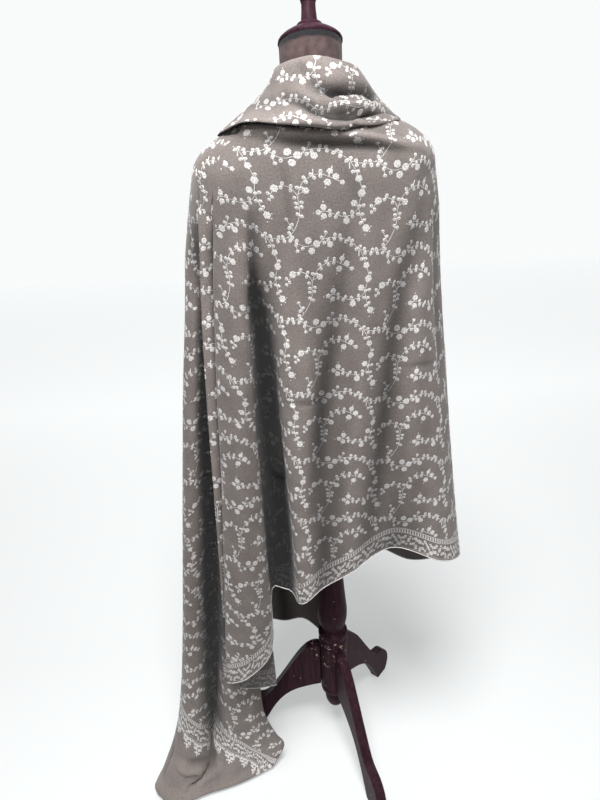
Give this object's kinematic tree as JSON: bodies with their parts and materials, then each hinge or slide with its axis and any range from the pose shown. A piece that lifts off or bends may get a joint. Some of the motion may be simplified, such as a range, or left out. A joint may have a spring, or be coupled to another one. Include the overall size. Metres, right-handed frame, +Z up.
{
  "type": "pashmina shawl on a dress form",
  "caption": "Long flower-embroidered shawl worn round the shoulders of a limbless dress form on a turned wooden stand with splayed feet, one end trailing to the floor.",
  "frame": {"origin": "centre of the bounding box on the floor", "axes": "+Z up, -Y the side that the back of the wearer faces, +X the wearer's right"},
  "size_m": [0.7945, 0.4633, 1.7696],
  "materials": {
    "cloth": "fine wool twill, taupe grey, soft low sheen, white thread embroidery",
    "wood": "dark mahogany stain under gloss lacquer",
    "jersey": "brown stretch jersey, matt"
  },
  "bodies": {
    "root": {"yoke": "cloth", "collar": "cloth", "back_panel": "cloth", "left_pleat": "cloth", "inner_pleat": "cloth", "small_pleat": "cloth", "long_end": "cloth", "front_wrap": "cloth", "front_end": "cloth", "dress_form": "jersey", "neck_cap": "wood", "finial": "wood", "post": "wood", "hub": "wood", "leg_back": "wood", "leg_right": "wood", "leg_left": "wood"}
  },
  "joints": []
}
